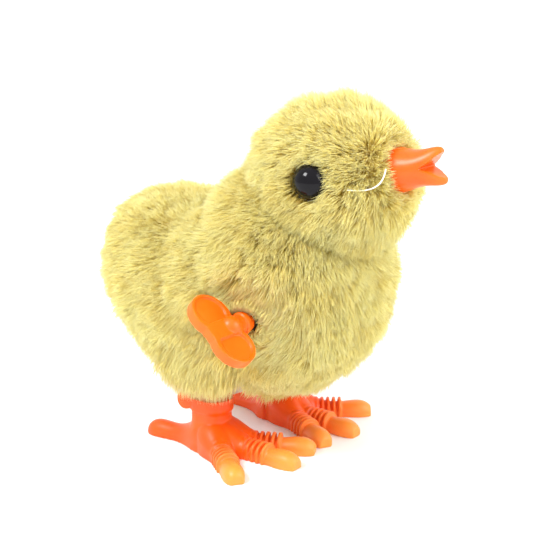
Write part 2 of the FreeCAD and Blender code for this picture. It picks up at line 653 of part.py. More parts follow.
def motor_case():
    """Both halves of the motor case, (left, right), meeting at y = 0."""
    edge = case_circles(0)
    room = case_circles(CASE_WALL)
    outer = belt(edge, -CASE_HALF_WIDTH, CASE_HALF_WIDTH)
    inner = belt(room, -PLATE_INNER, PLATE_INNER)
    case = outer.cut(inner)
    for at in CASE_SCREWS_AT:
        case = case.fuse(rod(at, CASE_POST_RADIUS, -PLATE_INNER, PLATE_INNER))
    boss_radius = LEG_AXLE_RADIUS + PIVOT_BOSS_WALL
    pivot_boss = rod(LEG_PIVOT_AT, boss_radius, -CASE_HALF_WIDTH, CASE_HALF_WIDTH)
    post_reach = SPRING_OUTER_RADIUS + SPRING_THICK
    post_at = polar(ARBOR_AT, post_reach, SPRING_END_BEARING - SPRING_POST_LAG)
    spring_post = rod(post_at, SPRING_POST_RADIUS, -PLATE_INNER, SPRING_LAYER[1])
    case = case.multiFuse([pivot_boss, spring_post])
    for at, radius in ((CRANK_AT, CRANK_SHAFT_RADIUS), (LEG_PIVOT_AT, LEG_AXLE_RADIUS)):
        case = case.cut(rod(at, radius + SHAFT_PLAY, -CASE_HALF_WIDTH, CASE_HALF_WIDTH))
    for at in (INTERMEDIATE_AT, ESCAPE_AT, PALLET_AT):
        case = case.cut(fixed_pin(at))
    blind_end = PLATE_INNER + CASE_PLATE / 2 + SHAFT_PLAY
    journal_hole = rod(ARBOR_AT, ARBOR_JOURNAL_RADIUS + SHAFT_PLAY, 0, blind_end)
    arbor_hole = rod(ARBOR_AT, ARBOR_RADIUS + SHAFT_PLAY, -CASE_HALF_WIDTH, 0)
    case = case.cut(journal_hole).cut(arbor_hole)
    for at in CASE_SCREWS_AT:
        case = case.cut(case_screw(at))
    return halves(case)


def case_screw(at):
    bearing_face = -CASE_HALF_WIDTH + CASE_SCREW_HEAD
    shank = rod(at, CASE_SCREW_RADIUS, bearing_face, PLATE_INNER - CASE_SCREW_SHORT)
    head = rod(at, CASE_SCREW_HEAD_RADIUS, -CASE_HALF_WIDTH, bearing_face)
    return head.fuse(shank)


def cross_recess(head_at, radius, face_y, depth):
    """The cross recess that a driver turns, sunk from face_y towards +Y."""
    x, z = head_at
    long_arm = radius * CROSS_ARM
    thin_arm = radius * CROSS_THIN
    first = block((x - long_arm, x + long_arm), (face_y, face_y + depth), (z - thin_arm, z + thin_arm))
    second = block((x - thin_arm, x + thin_arm), (face_y, face_y + depth), (z - long_arm, z + long_arm))
    return first.fuse(second)


def case_screws():
    screws = []
    for at in CASE_SCREWS_AT:
        recess = cross_recess(at, CASE_SCREW_HEAD_RADIUS, -CASE_HALF_WIDTH, SCREW_RECESS)
        screws.append(case_screw(at).cut(recess))
    return Part.makeCompound(screws)


# ---------------------------------------------------------------- legs
def toe_section(along, width, height):
    """A toe's outline across its length: flat underneath, straight low sides and a round top."""
    half = width / 2
    shoulder = height - half * TOE_CROWN
    low_left = Vector(along, -half, 0)
    high_left = Vector(along, -half, shoulder)
    high_right = Vector(along, half, shoulder)
    low_right = Vector(along, half, 0)
    crown = Vector(along, 0, height)
    edges = [
        Part.LineSegment(low_left, high_left).toShape(),
        Part.Arc(high_left, crown, high_right).toShape(),
        Part.LineSegment(high_right, low_right).toShape(),
        Part.LineSegment(low_right, low_left).toShape(),
    ]
    return Part.Wire(edges)


def toe(length, root_width, root_height, ribs):
    """A toe lying along +X from the ankle, blunt at its tip, with raised ribs across its top."""
    bend = length * TOE_BEND
    sections = [
        toe_section(0, root_width, root_height),
        toe_section(bend, TOE_WIDTH, TOE_HEIGHT),
    ]
    for share, back, narrower, lower in TOE_TAPER:
        section = toe_section(length * share - back, TOE_WIDTH - narrower, TOE_HEIGHT - lower)
        sections.append(section)
    blade = Part.makeLoft(sections, True, False)
    for rib in range(ribs):
        along = length * LAST_RIB - rib * RIB_PITCH
        rise = max(0.0, 1 - along / bend)
        width = TOE_WIDTH + (root_width - TOE_WIDTH) * rise
        height = TOE_HEIGHT + (root_height - TOE_HEIGHT) * rise
        section = toe_section(along - RIB_THICK / 2, width + RIB_WIDER, height + RIB_HEIGHT)
        blade = blade.fuse(Part.Face(section).extrude(Vector(RIB_THICK, 0, 0)))
    return blade


def rounded_rectangle(centre_x, length, width, height):
    """A closed outline at one height: two straight sides joined by round ends."""
    half = width / 2
    flat = length / 2 - half * END_ROUNDNESS
    bulge = length / 2
    front_low = Vector(centre_x + flat, -half, height)
    front_high = Vector(centre_x + flat, half, height)
    back_low = Vector(centre_x - flat, -half, height)
    back_high = Vector(centre_x - flat, half, height)
    edges = [
        Part.LineSegment(back_low, front_low).toShape(),
        Part.Arc(front_low, Vector(centre_x + bulge, 0, height), front_high).toShape(),
        Part.LineSegment(front_high, back_high).toShape(),
        Part.Arc(back_high, Vector(centre_x - bulge, 0, height), back_low).toShape(),
    ]
    return Part.Wire(edges)


def left_leg():
    """The chick's left foot, ankle, collar, pivot hub and slotted lever, one moulding."""
    foot = Part.makeLoft([rounded_rectangle(*section) for section in FOOT_SECTIONS], True, True)
    pieces = []
    for angle, length in FRONT_TOES.values():
        front = toe(length, TOE_ROOT_WIDTH, TOE_ROOT_HEIGHT, TOE_RIBS)
        front.rotate(Vector(0, 0, 0), Z_AXIS, angle)
        pieces.append(front)
    hind = toe(HIND_TOE_LENGTH, HIND_TOE_ROOT_WIDTH, HIND_TOE_ROOT_HEIGHT, 0)
    hind.rotate(Vector(0, 0, 0), Z_AXIS, 180 - HIND_TOE_ANGLE)
    pieces.append(hind)
    leg = foot.multiFuse(pieces)
    leg.translate(Vector(0, LEG_CENTRE, 0))
    collar = Part.makeLoft(
        [
            rounded_rectangle(0, ANKLE_LENGTH, ANKLE_WIDTH, ANKLE_TOP - COLLAR_BITE),
            rounded_rectangle(0, COLLAR_LENGTH, COLLAR_WIDTH, ANKLE_TOP),
            rounded_rectangle(0, COLLAR_LENGTH, COLLAR_WIDTH, COLLAR_TOP),
        ],
        True,
        True,
    )
    collar.translate(Vector(0, LEG_CENTRE, 0))
    bridge = block((-LEG_BRIDGE, LEG_BRIDGE), (LEG_INNER, LEG_CENTRE), (ANKLE_TOP, COLLAR_TOP))
    hub_bar = rod(LEG_PIVOT_AT, LEG_HUB_RADIUS, LEG_INNER, LEG_HUB_OUTER)
    lever_face = LEG_INNER + LEVER_THICK
    lever = belt(
        [(*LEG_PIVOT_AT, LEG_HUB_RADIUS), (*CRANK_AT, LEVER_TIP_RADIUS)], LEG_INNER, lever_face
    )
    leg = leg.multiFuse([collar, bridge, hub_bar, lever])
    direction = bearing(LEG_PIVOT_AT, CRANK_AT)
    slot_radius = CRANK_PIN_RADIUS + SLOT_PLAY
    ends = [polar(CRANK_AT, CRANK_THROW + SLOT_PLAY, direction + turn) for turn in (180, 0)]
    slot = belt([(*end, slot_radius) for end in ends], LEG_INNER, lever_face)
    axle_hole = rod(LEG_PIVOT_AT, LEG_AXLE_RADIUS, LEG_INNER, LEG_HUB_OUTER - LEG_HUB_END)
    return leg.cut(slot).cut(axle_hole)


def leg_axle():
    end = LEG_HUB_OUTER - LEG_HUB_END
    return rod(LEG_PIVOT_AT, LEG_AXLE_RADIUS, -end, end)


# ---------------------------------------------------------------- face pieces
def direction(azimuth, rise):
    """A unit vector, azimuth degrees from +X towards +Y and rise degrees above level."""
    flat = math.cos(math.radians(rise))
    turn = math.radians(azimuth)
    return Vector(flat * math.cos(turn), flat * math.sin(turn), math.sin(math.radians(rise)))


EYE_LINE = direction(EYE_AZIMUTH, EYE_RISE)
BEAK_LINE = direction(0, BEAK_PITCH)


def on_line(line, reach):
    return HEAD_CENTRE + line * reach


def left_eye():
    """A dome on a stem that goes through the plush and the head shell."""
    seat = on_line(EYE_LINE, EYE_SEAT)
    ball = Part.makeSphere(EYE_RADIUS, seat)
    depth = 2 * EYE_RADIUS
    behind = bar(on_line(EYE_LINE, EYE_SEAT - depth), EYE_LINE, depth, depth)
    dome = ball.cut(behind)
    stem_start = EYE_BOSS_FACE - WASHER_THICK - STEM_PAST_WASHER
    stem_length = EYE_SEAT - stem_start + STEM_BITE
    stem = bar(on_line(EYE_LINE, stem_start), EYE_LINE, EYE_STEM_RADIUS, stem_length)
    return dome.fuse(stem)


def lock_washer(line, boss_face, radius, bore):
    start = on_line(line, boss_face - WASHER_THICK)
    return bar(start, line, radius, WASHER_THICK).cut(bar(start, line, bore, WASHER_THICK))


def beak_section(reach, half_width, half_height):
    """An ellipse across the beak's axis, for a beak that points along +X from the head's centre."""
    major, minor, turn = half_width, half_height, 0
    if half_height > half_width:
        major, minor, turn = half_height, half_width, 90
    curve = Part.Ellipse(Vector(0, 0, 0), major, minor)
    wire = Part.Wire(curve.toShape())
    wire.rotate(Vector(0, 0, 0), Z_AXIS, turn + 90)
    wire.rotate(Vector(0, 0, 0), Y_AXIS, 90)
    wire.translate(Vector(reach, 0, 0))
    return wire


def beak():
    """The open beak: a tapered cone split by the mouth, on a stem."""
    sections = [beak_section(BEAK_ROOT, BEAK_HALF_WIDTH, BEAK_HALF_HEIGHT)]
    for along, half_width, half_height in BEAK_TAPER:
        sections.append(beak_section(BEAK_ROOT + along, half_width, half_height))
    cone = Part.makeLoft(sections, True, False)
    past = BEAK_REACH + 2
    slope = (past - BEAK_MOUTH) / (BEAK_REACH - BEAK_MOUTH)
    mouth_points = [
        (BEAK_MOUTH, 0.0),
        (past, -BEAK_GAPE_DOWN * slope),
        (past, BEAK_GAPE_UP * slope),
    ]
    mouth = extrude_y(mouth_points, -2 * BEAK_HALF_WIDTH, 2 * BEAK_HALF_WIDTH)
    stem_start = BEAK_BOSS_FACE - WASHER_THICK - STEM_PAST_WASHER
    stem_length = BEAK_ROOT - stem_start + STEM_BITE
    stem = bar(Vector(stem_start, 0, 0), Vector(1, 0, 0), BEAK_STEM_RADIUS, stem_length)
    shape = cone.cut(mouth).fuse(stem)
    shape.rotate(Vector(0, 0, 0), Y_AXIS, -BEAK_PITCH)
    shape.translate(HEAD_CENTRE)
    return shape


def mirrored_line(line):
    return Vector(line.x, -line.y, line.z)


EYE_LINES = (EYE_LINE, mirrored_line(EYE_LINE))


# ---------------------------------------------------------------- shells and plush
def head_shell():
    outer = head_form(0)
    shell = outer.cut(head_form(-SHELL_WALL))
    bosses = [(line, EYE_BOSS_FACE, EYE_BOSS_RADIUS, EYE_STEM_RADIUS) for line in EYE_LINES]
    bosses.append((BEAK_LINE, BEAK_BOSS_FACE, BEAK_BOSS_RADIUS, BEAK_STEM_RADIUS))
    for line, face, radius, bore in bosses:
        boss = bar(on_line(line, face), line, radius, BOSS_LENGTH).common(outer)
        shell = shell.fuse(boss)
        shell = shell.cut(bar(on_line(line, face), line, bore, BOSS_LENGTH))
    return shell


def head_cover():
    cover = head_form(PILE_TIPS).cut(head_form(SOFT_GAP)).cut(body_form(SOFT_GAP))
    holes = [(line, EYE_RADIUS + EYE_HOLE_GAP) for line in EYE_LINES]
    holes.append((BEAK_LINE, BEAK_HALF_WIDTH + BEAK_HOLE_GAP))
    for line, radius in holes:
        cover = cover.cut(bar(on_line(line, FACE_HOLE_FROM), line, radius, FACE_HOLE_LENGTH))
    return main_piece(cover)


def body_covers():
    """The two side panels of the body's plush, (left, right), sewn together at y = 0."""
    key_hole = rod(ARBOR_AT, KEY_PLUSH_HOLE, *KEY_SIDE)
    pressed = rod(ARBOR_AT, KEY_PRESSED_RADIUS, -HALF_WIDTH, KEY_PRESSED_TO)
    outside = body_form(PILE_TIPS).cut(head_form(PILE_TIPS)).cut(pressed)
    outside = outside.cut(opening_block(PLUSH_OPENING)).cut(key_hole)
    return halves(outside.cut(body_form(SOFT_GAP)))


def halves(shape):
    """The main piece of the shape on each side of the middle plane, (left, right)."""
    lengthwise = (-HALF_LENGTH, HALF_LENGTH)
    left_side = block(lengthwise, (0, HALF_WIDTH), (0, TOTAL_HEIGHT))
    right_side = block(lengthwise, (-HALF_WIDTH, 0), (0, TOTAL_HEIGHT))
    return main_piece(shape.common(left_side)), main_piece(shape.common(right_side))


def main_piece(shape):
    """The largest solid, without any crumb that a cut leaves."""
    return max(shape.Solids, key=lambda solid: solid.Volume)


def body_shell():
    """Both halves of the body shell, (left, right), with screw posts and the rings that hold the motor."""
    outer = body_form(0)
    shell = outer.cut(body_form(-SHELL_WALL))
    additions = []
    for at in SHELL_SCREWS_AT:
        additions.append(rod(at, SHELL_POST_RADIUS, -SHELL_REACH, SHELL_REACH))
    for at, (ring_outer, ring_inner) in ((ARBOR_AT, ARBOR_PAD), (PALLET_AT, PALLET_PAD)):
        additions.append(ring(at, ring_outer, ring_inner, -SHELL_REACH, -CASE_HALF_WIDTH))
        additions.append(ring(at, ring_outer, ring_inner, CASE_HALF_WIDTH, SHELL_REACH))
    inside = [piece.common(outer) for piece in additions]
    shell = shell.multiFuse(inside)
    shell = shell.cut(head_form(SEAT_GAP)).cut(opening_block(SHELL_OPENING))
    shell = shell.cut(rod(ARBOR_AT, KEY_SHELL_HOLE, *KEY_SIDE))
    for at in SHELL_SCREWS_AT:
        shell = shell.cut(shell_screw(at))
        well = rod(at, SHELL_SCREW_HEAD_RADIUS, -HALF_WIDTH, SHELL_SCREW_HEAD_AT)
        shell = shell.cut(well)
    return halves(shell)


def shell_screw(at):
    head_top = SHELL_SCREW_HEAD_AT - SHELL_SCREW_HEAD
    head = rod(at, SHELL_SCREW_HEAD_RADIUS, head_top, SHELL_SCREW_HEAD_AT)
    shank = rod(at, SHELL_SCREW_RADIUS, SHELL_SCREW_HEAD_AT, SHELL_SCREW_END)
    return head.fuse(shank)


def shell_screws():
    screws = []
    for at in SHELL_SCREWS_AT:
        head_top = SHELL_SCREW_HEAD_AT - SHELL_SCREW_HEAD
        recess = cross_recess(at, SHELL_SCREW_HEAD_RADIUS, head_top, SHELL_SCREW_RECESS)
        screws.append(shell_screw(at).cut(recess))
    return Part.makeCompound(screws)


# ---------------------------------------------------------------- assembly
def rear_reach():
    """How far back the rump's pile reaches: the tilted ellipsoid's own extent."""
    tilt = math.radians(RUMP_PITCH)
    length, _, height = [radius + PILE_TIPS for radius in RUMP_RADII]
    return RUMP_CENTRE.x - math.hypot(length * math.cos(tilt), height * math.sin(tilt))


def front_reach():
    """How far forward the beak's upper tip reaches."""
    tilt = math.radians(BEAK_PITCH)
    return HEAD_CENTRE.x + BEAK_REACH * math.cos(tilt)


FRAME_SHIFT = Vector(
    -(rear_reach() + front_reach()) / 2,
    -(KEY_PLATE_OUTER + RUMP_RADII[1] + PILE_TIPS) / 2,
    0,
)


def pieces():
    """Every node's shape, by name."""
    case_left, case_right = motor_case()
    shell_left, shell_right = body_shell()
    cover_left, cover_right = body_covers()
    leg = left_leg()
    eye = left_eye()
    disc = crank_disc()
    eye_washer = lock_washer(EYE_LINE, EYE_BOSS_FACE, EYE_WASHER_RADIUS, EYE_STEM_RADIUS)
    return {
        "body_cover_left": cover_left,
        "body_cover_right": cover_right,
        "head_cover": head_cover(),
        "body_shell_left": shell_left,
        "body_shell_right": shell_right,
        "body_shell_screws": shell_screws(),
        "head_shell": head_shell(),
        "eye_left": eye,
        "eye_right": mirrored(eye),
        "eye_washers": Part.makeCompound([eye_washer, mirrored(eye_washer)]),
        "beak": beak(),
        "beak_washer": lock_washer(BEAK_LINE, BEAK_BOSS_FACE, BEAK_WASHER_RADIUS, BEAK_STEM_RADIUS),
        "motor_case_left": case_left,
        "motor_case_right": case_right,
        "motor_case_screws": case_screws(),
        "winding_key": winding_key(),
        "winding_shaft": winding_shaft(),
        "ratchet_wheel": ratchet_wheel(),
        "click": click(),
        "drive_gear": drive_gear(),
        "mainspring": mainspring(),
        "intermediate_pin": fixed_pin(INTERMEDIATE_AT),
        "intermediate_gear": intermediate_gear(),
        "crank_shaft": crank_shaft(),
        "crank_gear": crank_gear(),
        "crank_disc_left": disc,
        "crank_disc_right": mirrored(disc),
        "escape_pin": fixed_pin(ESCAPE_AT),
        "escape_gear": escape_gear(),
        "pallet_pin": fixed_pin(PALLET_AT),
        "pallet": pallet(),
        "leg_axle": leg_axle(),
        "leg_left": leg,
        "leg_right": mirrored(leg),
    }


def main():
    os.makedirs("parts", exist_ok=True)
    for name, shape in pieces().items():
        shape.translate(FRAME_SHIFT)
        shape.exportStep(f"parts/{name}.step")


if __name__ == "__main__":
    main()
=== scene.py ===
"""Wind-up hopping chick: plush fur, moulded orange feet, beak and key, black eyes, on a pale floor.

Sizes in the chick's own frame are in millimetres, as in the CAD model: +X forward, +Y to its left, +Z up,
with the ankles at x = 0 and the middle plane at y = 0. place() turns them into scene metres.
"""

import math

import bmesh
import bpy
import numpy as np
from mathutils import Matrix, Vector, kdtree


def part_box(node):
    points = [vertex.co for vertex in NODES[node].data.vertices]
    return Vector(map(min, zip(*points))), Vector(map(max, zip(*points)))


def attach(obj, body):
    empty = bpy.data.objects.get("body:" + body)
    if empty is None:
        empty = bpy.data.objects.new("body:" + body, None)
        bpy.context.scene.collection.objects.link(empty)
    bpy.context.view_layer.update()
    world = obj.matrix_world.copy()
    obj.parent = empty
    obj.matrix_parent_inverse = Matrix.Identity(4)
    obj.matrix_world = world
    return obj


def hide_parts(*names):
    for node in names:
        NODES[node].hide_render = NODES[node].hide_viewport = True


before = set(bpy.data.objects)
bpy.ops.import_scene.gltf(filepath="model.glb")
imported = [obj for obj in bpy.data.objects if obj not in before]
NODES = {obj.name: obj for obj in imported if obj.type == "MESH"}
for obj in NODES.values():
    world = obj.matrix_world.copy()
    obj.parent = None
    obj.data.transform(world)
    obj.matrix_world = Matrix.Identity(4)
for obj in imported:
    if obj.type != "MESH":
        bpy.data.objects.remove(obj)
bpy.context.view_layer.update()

MM = 0.001


def box_centre(node):
    low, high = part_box(node)
    return (Vector(low) + Vector(high)) / 2


# ---------------------------------------------------------------- where things are
LEG_PIVOT = Vector((-5.0, 0, 12.2))
PIVOT_CENTRE = box_centre("leg_axle")
ORIGIN = PIVOT_CENTRE - LEG_PIVOT * MM

HEAD = (box_centre("head_shell") - ORIGIN) / MM
HEAD_RADII = Vector((21.2, 21.4, 20.3))
RUMP = Vector((-6.8, 0, 36.4))
RUMP_RADII = Vector((35.6, 28.5, 20.9))
RUMP_PITCH = 32.0
CHEST = Vector((14.7, 0, 43.0))
CHEST_RADII = Vector((23.6, 28.3, 30.7))
FLANK = Vector((2.0, 0, 40.0))
FLANK_RADII = Vector((25.0, 28.0, 21.5))
FLANK_PITCH = 18.0
KEY_AXIS = (box_centre("winding_shaft") - ORIGIN) / MM
LEG_CENTRE = 13.5
PILE = 4.6  # from the plush's backing to the outside of its form

FACE_FROM = 8.0  # along a line from the head's centre, where the face's openings start
KEY_SIDE = -10.0  # y beyond which a point is on the key's side
EYE_RADIUS = 4.0
EYE_SEAT = 16.6  # from the head's centre to the middle of the dome
EYE_BACK = 0.3  # how deep the dome's back is, as a share of its front
EYE_OPENING = 3.95
BEAK_OPENING = 5.0
KEY_OPENING = 1.9
# a room: its range in x, its range in distance from the middle plane, and its top
FOOT_OPENING = ((-9.0, 12.0), (0.0, 18.8), 22.0)
LEG_ROOM = ((-8.2, 7.4), (8.4, 18.5), 15.2)
LEVER_ROOM = ((-9.5, 11.0), (0.0, 12.6), 28.0)
OPENING_SPREAD = 0.3  # the backing is cut back this much further than the pile
CLOTH_THICK = 0.5

FIBRES = 220000
FIBRES_PER_PIECE = 19000  # how many fibres go in each piece of the pile; keeps each piece under the export's face limit
PILE_LENGTH = 7.1
HEAD_PILE_SHORTER = 0.9
BEAK_PRESS = (5.6, 9.5)  # from the beak's axis, where the pile stands forward, fading out
KEY_PRESS = (9.0, 13.0)  # from the key's axis, where the pile lies flat, fading out
KEY_BOSS_FUR = 6.5  # from the key's axis, where the pile turns in to the boss
KEY_PRESSED_TO = -26.3  # nothing of the pile stands past this y behind the key
HEM_HEIGHT = 9.7  # the pile ends above the toes as they rock
COLLAR_HEIGHT = 12.6
LOWEST_PILE = 9.3
BOW_ROOM = 9.7  # from the key's axis, where no pile stands past KEY_PRESSED_TO
BOSS_ROOM = 2.75  # from the key's axis, inside the plush
BEAK_ROOM = 4.2  # from the beak's axis
EYE_ROOM = 2.6  # from an eye's axis
# each ring of a fibre: how far along it, and its share of the fibre's radius
STATIONS = ((0.0, 0.8), (0.4, 1.0), (0.74, 0.7))
CORNERS = 3  # of a fibre's section
TUFTS = ((12, 0.30), (80, 0.24))  # fibres in a tuft, and how far their tips are drawn together

BEAK_OPENED = (22.0, 0.045, 1.6)  # from how far along it, by how much, and how steeply
BEAK_LIPS = 1.2  # the opening grows over this much of its height, up and down
BEAK_SHORTENED = (16.0, 0.06)  # from how far along it, and by what share
PALE_BEAK = (24.0, 30.0)  # along the beak, where its paleness sets in
PALE_TOES = (9.0, 24.0)  # from the ankle, where the toes' paleness sets in

FLOOR_HALF = 9.0  # metres
LIGHT_TARGET = (5, 0, 42)
# a light's place to the chick's right, towards the camera and up, in metres, then its size and power
KEY_LIGHT = ((-0.42, 0.45, 0.50), 0.24, 5.6)
SIDE_LIGHT = ((0.60, 0.35, 0.30), 0.50, 3.6)

CAMERA_AZIMUTH = 36.8
CAMERA_ELEVATION = 14.5
CAMERA_DISTANCE = 300.0
CAMERA_ASIDE = 7.4
CAMERA_UP = -4.5
CAMERA_AIM_HEIGHT = 45.0
FOCAL_PIXELS = 1228.4
PICTURE_WIDTH = 551
SENSOR_WIDTH = 36.0


def place(x, y, z):
    return Vector((x, y, z)) * MM + ORIGIN


def direction(azimuth, rise):
    flat = math.cos(math.radians(rise))
    turn = math.radians(azimuth)
    return Vector((flat * math.cos(turn), flat * math.sin(turn), math.sin(math.radians(rise))))


EYE_LINES = {1: direction(74.0, 6.0), -1: direction(-74.0, 6.0)}
BEAK_LINE = direction(0, 11.0)


# ---------------------------------------------------------------- material helpers
class Nodes:
    """A short way to wire a material: add(kind, socket=value or another node's output)."""

    def __init__(self, name):
        self.material = bpy.data.materials.new(name)
        self.material.use_nodes = True
        self.tree = self.material.node_tree
        self.shader = self.tree.nodes["Principled BSDF"]

    def add(self, kind, settings=None, **inputs):
        node = self.tree.nodes.new(kind)
        for key, value in (settings or {}).items():
            setattr(node, key, value)
        for key, value in inputs.items():
            self.feed(node, key.replace("_", " "), value)
        return node

    def feed(self, node, socket, value):
        target = node.inputs[socket]
        if isinstance(value, bpy.types.NodeSocket):
            self.tree.links.new(value, target)
        else:
            target.default_value = value

    def set(self, **inputs):
        for key, value in inputs.items():
            self.feed(self.shader, key.replace("_", " "), value)

    def noise(self, scale, detail=3.0, roughness=0.5):
        coords = self.add("ShaderNodeTexCoord")
        return self.add(
            "ShaderNodeTexNoise",
            Vector=coords.outputs["Object"],
            Scale=scale,
            Detail=detail,
            Roughness=roughness,
        )

    def ramp(self, factor, *stops):
        node = self.add("ShaderNodeValToRGB", Fac=factor)
        elements = node.color_ramp.elements
        while len(elements) < len(stops):
            elements.new(0.5)
        for element, (position, colour) in zip(elements, stops, strict=True):
            element.position = position
            element.color = (*colour, 1)
        return node.outputs["Color"]

    def spread(self, factor, low, high):
        node = self.add("ShaderNodeMapRange", Value=factor)
        node.inputs["From Min"].default_value = 0.3
        node.inputs["From Max"].default_value = 0.7
        node.inputs["To Min"].default_value = low
        node.inputs["To Max"].default_value = high
        return node.outputs["Result"]

    def bump(self, height, strength, distance):
        node = self.add("ShaderNodeBump", Height=height, Strength=strength, Distance=distance)
        self.set(Normal=node.outputs["Normal"])


def fur_material():
    """Colour from the fibres' map: across it the tone of each fibre, up it from root to tip, with painted
    shade at the roots: darker and deeper yellow there, paler at the tips.
    """
    m = Nodes("plush_pile")
    uv = m.add("ShaderNodeUVMap", {"uv_map": "OFBake"})
    parts = m.add("ShaderNodeSeparateXYZ", Vector=uv.outputs["UV"])
    # painted shade: the roots are darker and deeper yellow than the tips, standing in for the shade deep in
    # the pile
    along = m.ramp(
        parts.outputs["Y"],
        (0.0, (0.96, 0.80, 0.24)),
        (0.35, (1.0, 0.90, 0.38)),
        (0.75, (1.0, 0.96, 0.53)),
        (1.0, (1.0, 0.98, 0.64)),
    )
    tone = m.ramp(
        parts.outputs["X"],
        (0.0, (0.95, 0.88, 0.62)),
        (0.5, (1.0, 0.98, 0.90)),
        (1.0, (1.0, 1.0, 1.0)),
    )
    mixed = m.add("ShaderNodeMix", {"data_type": "RGBA", "blend_type": "MULTIPLY"})
    mixed.inputs["Factor"].default_value = 1.0
    m.tree.links.new(along, mixed.inputs["A"])
    m.tree.links.new(tone, mixed.inputs["B"])
    colour = [s for s in mixed.outputs if s.type == "RGBA"][0]
    m.set(Base_Color=colour, Roughness=0.62)
    m.set(Specular_IOR_Level=0.25)
    through = m.add("ShaderNodeBsdfTranslucent", Color=colour)
    both = m.add("ShaderNodeMixShader", Fac=0.5)
    m.tree.links.new(m.shader.outputs["BSDF"], both.inputs[1])
    m.tree.links.new(through.outputs["BSDF"], both.inputs[2])
    m.tree.links.new(both.outputs["Shader"], m.tree.nodes["Material Output"].inputs["Surface"])
    return m.material


def backing_material():
    m = Nodes("plush_backing")
    weave = m.noise(1400.0, 4.0)
    patches = m.noise(160.0)
    colour = m.ramp(patches.outputs["Fac"], (0.3, (0.92, 0.74, 0.22)), (0.7, (0.98, 0.84, 0.32)))
    m.set(Base_Color=colour, Roughness=0.9)
    m.bump(weave.outputs["Fac"], 0.6, 0.0004)
    return m.material


def orange_material(name, deep, bright, tip):
    """Soft moulded plastic. The thin ends of the toes are paler, by the piece's own 'paleness' values."""
    m = Nodes(name)
    clouds = m.noise(90.0)
    base = m.ramp(clouds.outputs["Fac"], (0.3, deep), (0.7, bright))
    pale = m.add("ShaderNodeAttribute", {"attribute_name": "paleness"})
    mixed = m.add("ShaderNodeMix", {"data_type": "RGBA"})
    m.tree.links.new(pale.outputs["Fac"], mixed.inputs["Factor"])
    m.tree.links.new(base, mixed.inputs["A"])
    mixed.inputs["B"].default_value = (*tip, 1)
    colour = [s for s in mixed.outputs if s.type == "RGBA"][0]
    grain = m.noise(900.0, 2.0)
    m.set(Base_Color=colour, Roughness=m.spread(clouds.outputs["Fac"], 0.30, 0.42))
    m.set(Subsurface_Weight=0.2, Subsurface_Scale=0.002, Specular_IOR_Level=0.35)
    m.shader.inputs["Subsurface Radius"].default_value = (1.0, 0.35, 0.08)
    m.bump(grain.outputs["Fac"], 0.15, 0.00012)
    return m.material


def eye_material():
    m = Nodes("eye_black")
    smudge = m.noise(350.0)
    colour = m.ramp(smudge.outputs["Fac"], (0.3, (0.0015, 0.001, 0.002)), (0.7, (0.004, 0.003, 0.005)))
    m.set(Base_Color=colour, Roughness=m.spread(smudge.outputs["Fac"], 0.09, 0.14))
    m.set(Specular_IOR_Level=0.2)
    return m.material


def hard_material(name, low, high, roughness, metallic=0.0, grain_scale=700.0):
    m = Nodes(name)
    clouds = m.noise(120.0)
    grain = m.noise(grain_scale, 3.0)
    colour = m.ramp(clouds.outputs["Fac"], (0.3, low), (0.7, high))
    m.set(Base_Color=colour, Metallic=metallic)
    m.set(Roughness=m.spread(grain.outputs["Fac"], roughness - 0.06, roughness + 0.08))
    m.bump(grain.outputs["Fac"], 0.2, 0.00008)
    return m.material


def thread_material():
    m = Nodes("stray_thread")
    twist = m.noise(2600.0)
    colour = m.ramp(twist.outputs["Fac"], (0.3, (0.85, 0.82, 0.74)), (0.7, (0.97, 0.96, 0.92)))
    m.set(Base_Color=colour, Roughness=0.8)
    m.bump(twist.outputs["Fac"], 0.5, 0.0001)
    return m.material


FUR = fur_material()
BACKING = backing_material()
ORANGE = orange_material("orange_feet", (0.80, 0.070, 0.001), (0.88, 0.098, 0.002), (0.95, 0.30, 0.05))
ORANGE_KEY = orange_material("orange_key", (0.84, 0.112, 0.001), (0.90, 0.142, 0.002), (0.9, 0.2, 0.01))
ORANGE_BEAK = orange_material("orange_beak", (0.82, 0.095, 0.001), (0.88, 0.125, 0.002), (0.9, 0.18, 0.01))
EYE = eye_material()


# ---------------------------------------------------------------- mesh helpers
def new_object(name, mesh, material):
    obj = bpy.data.objects.new(name, mesh)
    bpy.context.scene.collection.objects.link(obj)
    mesh.materials.append(material)
    return obj


def applied(obj):
    """The object's mesh with its modifiers applied, and the modifiers gone."""
    depsgraph = bpy.context.evaluated_depsgraph_get()
    mesh = bpy.data.meshes.new_from_object(obj.evaluated_get(depsgraph))
    obj.modifiers.clear()
    obj.data = mesh
    return obj


def remeshed(obj, voxel, rounds):
    """Skins the object with an even mesh and rounds off its edges."""
    remesh = obj.modifiers.new("skin", "REMESH")
    remesh.mode = "VOXEL"
    remesh.voxel_size = voxel
    soften = obj.modifiers.new("soften", "SMOOTH")
    soften.factor = 0.5
    soften.iterations = rounds
    applied(obj)
    for polygon in obj.data.polygons:
        polygon.use_smooth = True
    return obj


def moulded_copy(node, name, material, voxel, rounds):
    """A CAD piece with its edges rounded as in a mould."""
    mesh = NODES[node].data.copy()
    mesh.materials.clear()
    obj = remeshed(new_object(name, mesh, material), voxel * MM, rounds)
    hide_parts(node)
    return obj


def set_paleness(obj, values):
    layer = obj.data.attributes.new("paleness", "FLOAT", "POINT")
    layer.data.foreach_set("value", np.asarray(values, dtype=np.float32))


def vertex_array(obj):
    mesh = obj.data
    points = np.empty(len(mesh.vertices) * 3, dtype=np.float32)
    mesh.vertices.foreach_get("co", points)
    return points.reshape(-1, 3)


def chick_points(obj):
    """The object's vertices in the chick's own frame, in millimetres."""
    return (vertex_array(obj) - np.array(ORIGIN)) / MM


def set_vertices(obj, points):
    places = points * MM + np.array(ORIGIN)
    obj.data.vertices.foreach_set("co", places.astype(np.float32).ravel())
    obj.data.update()


